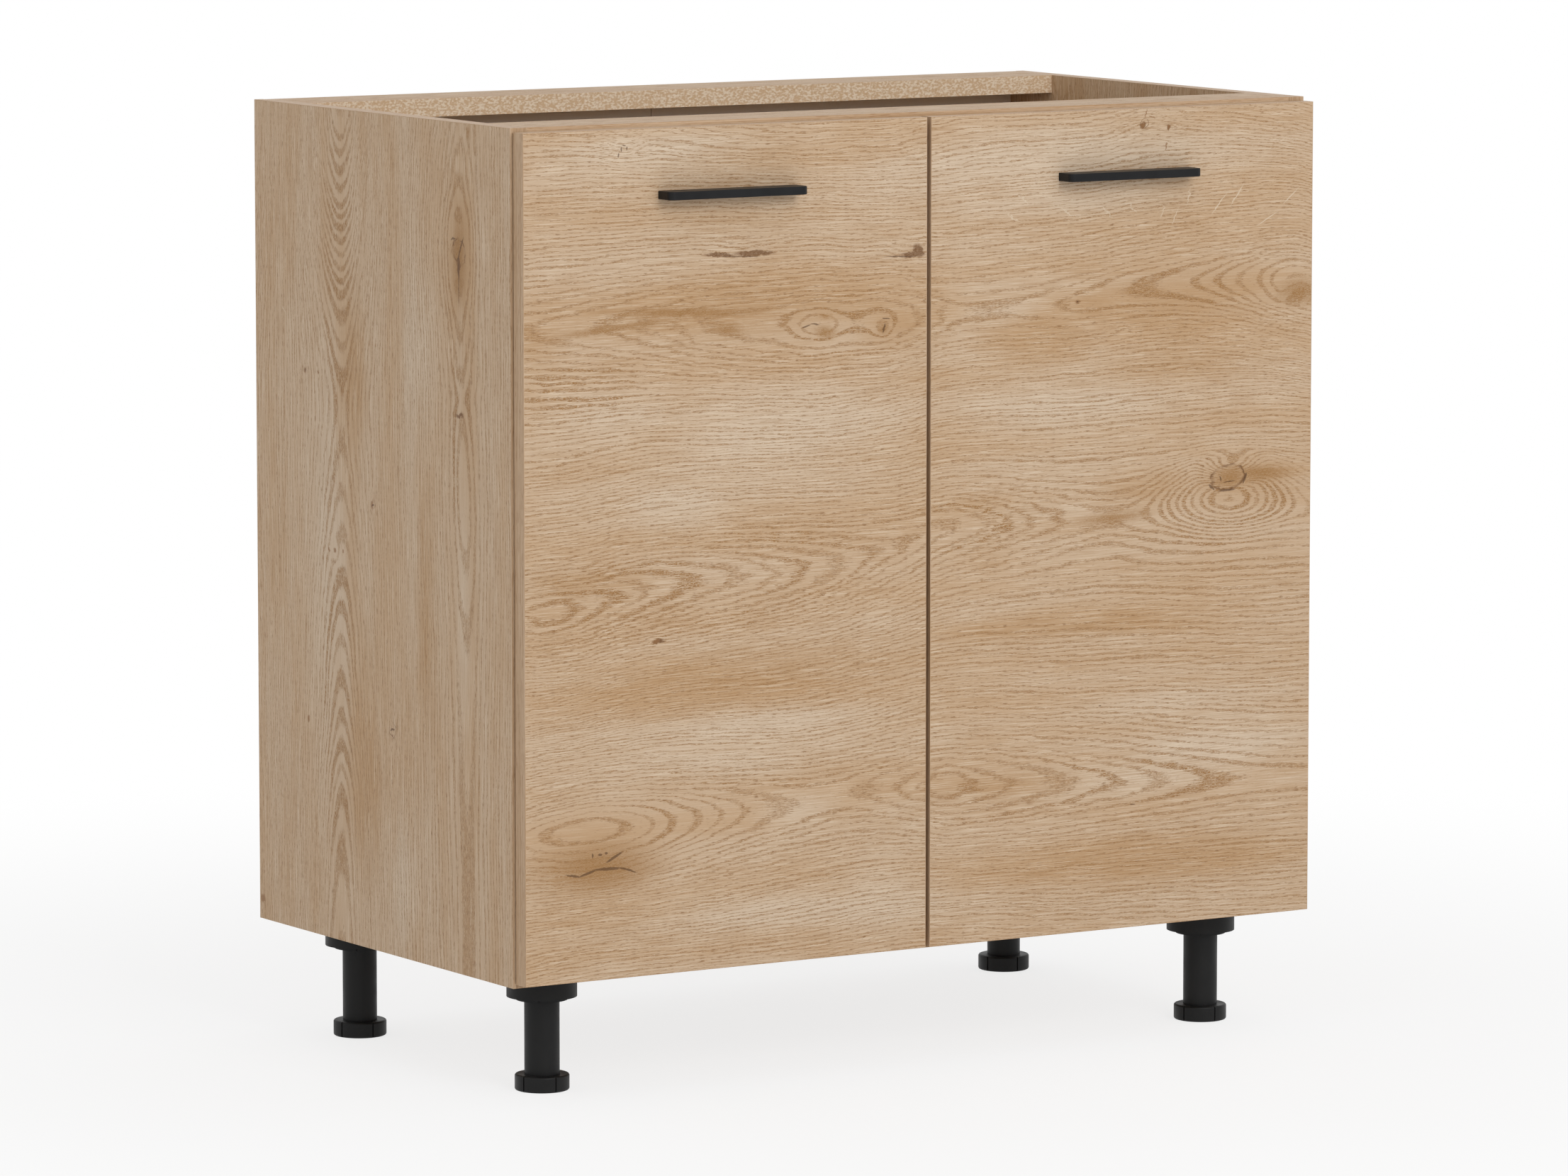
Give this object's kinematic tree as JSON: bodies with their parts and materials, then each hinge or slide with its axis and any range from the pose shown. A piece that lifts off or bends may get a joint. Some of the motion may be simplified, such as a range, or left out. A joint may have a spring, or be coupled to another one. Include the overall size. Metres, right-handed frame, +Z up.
{
  "type": "kitchen base cabinet",
  "caption": "Freestanding oak-grain kitchen base cabinet with hinged doors, bar handles, an open top between rails and screw legs.",
  "frame": {"origin": "on the floor, under the middle of the overall box, handles included", "axes": "+Z up, +Y to the back (the doors face -Y), +X to the right as seen from the front"},
  "size_m": [0.8, 0.4836, 0.82],
  "materials": {
    "side_oak": "vertical oak-grain laminate, matt, on chipboard",
    "side_band": "oak-grain edge band, matt",
    "board_oak": "oak-grain laminate on chipboard, bare chipboard at unbanded edges",
    "board_band": "oak-grain edge band, matt",
    "door_oak": "horizontal oak-grain laminate with fine embossed pores, matt",
    "door_band": "oak-grain edge band, matt",
    "hardboard": "thin hardboard, painted inner face",
    "tape": "thin jointing tape",
    "beech": "bare fluted beech",
    "zinc": "bright zinc plate",
    "hinge_steel": "nickel-plated steel",
    "handle_black": "satin black",
    "bumper": "clear soft plastic",
    "leg_black": "black moulded plastic, fine satin grain"
  },
  "bodies": {
    "carcass": {"back_joint_tape": "tape", "back_nails": "zinc", "back_panel_left": "hardboard", "back_panel_right": "hardboard", "bottom_edge_band": "board_band", "bottom_panel": "board_oak", "cam_bolts": "zinc", "cam_locks": "zinc", "front_rail": "board_oak", "front_rail_edge_band": "board_band", "hinge_arm_pins": "zinc", "hinge_arm_screws": "zinc", "hinge_arms_left": "hinge_steel", "hinge_arms_right": "hinge_steel", "hinge_plate_screws": "zinc", "hinge_plates_left": "hinge_steel", "hinge_plates_right": "hinge_steel", "leg_socket_front_left": "leg_black", "leg_socket_front_right": "leg_black", "leg_socket_rear_left": "leg_black", "leg_socket_rear_right": "leg_black", "leg_tube_front_left": "leg_black", "leg_tube_front_right": "leg_black", "leg_tube_rear_left": "leg_black", "leg_tube_rear_right": "leg_black", "rear_rail": "board_oak", "shelf": "board_oak", "shelf_edge_band": "board_band", "shelf_pins": "zinc", "side_edge_band_left": "side_band", "side_edge_band_right": "side_band", "side_panel_left": "side_oak", "side_panel_right": "side_oak", "wood_dowels": "beech"},
    "link_left": {"hinge_link_left_lower": "hinge_steel", "hinge_link_left_upper": "hinge_steel"},
    "door_left": {"door_bumpers_left": "bumper", "door_edge_bands_left": "door_band", "door_left": "door_oak", "handle_left": "handle_black", "handle_screws_left": "zinc", "hinge_cup_pins_left": "zinc", "hinge_cup_screws_left": "zinc", "hinge_cups_left": "hinge_steel"},
    "link_right": {"hinge_link_right_lower": "hinge_steel", "hinge_link_right_upper": "hinge_steel"},
    "door_right": {"door_bumpers_right": "bumper", "door_edge_bands_right": "door_band", "door_right": "door_oak", "handle_right": "handle_black", "handle_screws_right": "zinc", "hinge_cup_pins_right": "zinc", "hinge_cup_screws_right": "zinc", "hinge_cups_right": "hinge_steel"},
    "foot_front_left": {"leg_foot_front_left": "leg_black"},
    "foot_front_right": {"leg_foot_front_right": "leg_black"},
    "foot_rear_left": {"leg_foot_rear_left": "leg_black"},
    "foot_rear_right": {"leg_foot_rear_right": "leg_black"}
  },
  "joints": [
    {"name": "left_hinge_link_turn", "type": "hinge", "parent": "carcass", "child": "link_left", "pos_m": [-0.365, -0.20125, 0.46], "axis": [0, 0, 1], "range_deg": [0, 39.5]},
    {"name": "left_door_turn", "type": "hinge", "parent": "link_left", "child": "door_left", "pos_m": [-0.387, -0.21025, 0.46], "axis": [0, 0, -1], "range_deg": [0, 144.38]},
    {"name": "right_hinge_link_turn", "type": "hinge", "parent": "carcass", "child": "link_right", "pos_m": [0.365, -0.20125, 0.46], "axis": [0, 0, -1], "range_deg": [0, 39.5]},
    {"name": "right_door_turn", "type": "hinge", "parent": "link_right", "child": "door_right", "pos_m": [0.387, -0.21025, 0.46], "axis": [0, 0, 1], "range_deg": [0, 144.38]},
    {"name": "front_left_foot_height", "type": "slide", "parent": "carcass", "child": "foot_front_left", "axis": [0, 0, -1], "range_m": [0, 0.02]},
    {"name": "front_right_foot_height", "type": "slide", "parent": "carcass", "child": "foot_front_right", "axis": [0, 0, -1], "range_m": [0, 0.02]},
    {"name": "rear_left_foot_height", "type": "slide", "parent": "carcass", "child": "foot_rear_left", "axis": [0, 0, -1], "range_m": [0, 0.02]},
    {"name": "rear_right_foot_height", "type": "slide", "parent": "carcass", "child": "foot_rear_right", "axis": [0, 0, -1], "range_m": [0, 0.02]}
  ],
  "couplings": [
    {"joint": "left_hinge_link_turn", "follows": "left_door_turn", "ratio": 0.27273},
    {"joint": "right_hinge_link_turn", "follows": "right_door_turn", "ratio": 0.27273}
  ]
}
